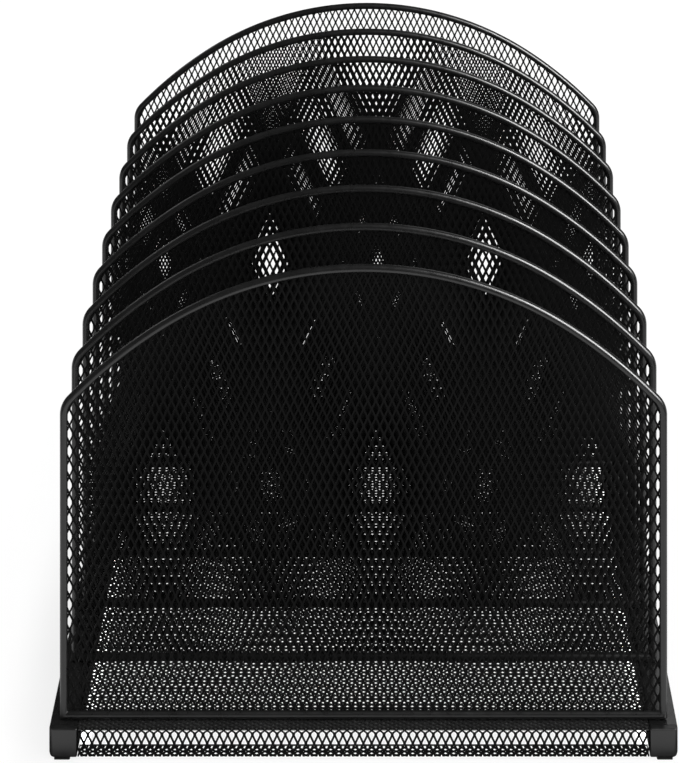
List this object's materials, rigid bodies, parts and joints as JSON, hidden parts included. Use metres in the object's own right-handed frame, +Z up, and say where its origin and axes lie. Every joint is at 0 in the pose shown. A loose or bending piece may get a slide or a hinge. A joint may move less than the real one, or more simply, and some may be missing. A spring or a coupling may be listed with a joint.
{
  "type": "desktop file sorter",
  "caption": "Upright desktop file sorter: domed round-wire dividers filled with expanded mesh stand in a row on two side rails, over a mesh floor with turned-down skirts.",
  "frame": {"origin": "centre of the footprint at table level, midway between the end caps, the rails and the first and last divider", "axes": "X across the width with the left rail at -X, Y along the row of dividers with the front at -Y, Z up from the table"},
  "size_m": [0.2938, 0.3628, 0.2282],
  "materials": {
    "wire_frame": "satin black powder coat on round steel wire",
    "divider_mesh": "matte black powder coat on expanded steel mesh",
    "floor_mesh": "matte black powder coat on expanded steel mesh",
    "rail": "satin black powder coat on rectangular steel tube and flat steel strip",
    "end_cap": "satin black moulded plastic",
    "foot_pad": "matte black rubber"
  },
  "bodies": {
    "root": {"divider_frame_1": "wire_frame", "divider_frame_2": "wire_frame", "divider_frame_3": "wire_frame", "divider_frame_4": "wire_frame", "divider_frame_5": "wire_frame", "divider_frame_6": "wire_frame", "divider_frame_7": "wire_frame", "divider_frame_8": "wire_frame", "divider_frame_9": "wire_frame", "divider_mesh_1": "divider_mesh", "divider_mesh_2": "divider_mesh", "divider_mesh_3": "divider_mesh", "divider_mesh_4": "divider_mesh", "divider_mesh_5": "divider_mesh", "divider_mesh_6": "divider_mesh", "divider_mesh_7": "divider_mesh", "divider_mesh_8": "divider_mesh", "divider_mesh_9": "divider_mesh", "mesh_floor": "floor_mesh", "edge_strip_front": "rail", "edge_strip_rear": "rail", "side_rail_left": "rail", "side_rail_right": "rail", "end_cap_front_left": "end_cap", "end_cap_front_right": "end_cap", "end_cap_rear_left": "end_cap", "end_cap_rear_right": "end_cap", "foot_pad_front_left": "foot_pad", "foot_pad_front_right": "foot_pad", "foot_pad_rear_left": "foot_pad", "foot_pad_rear_right": "foot_pad"}
  },
  "joints": []
}
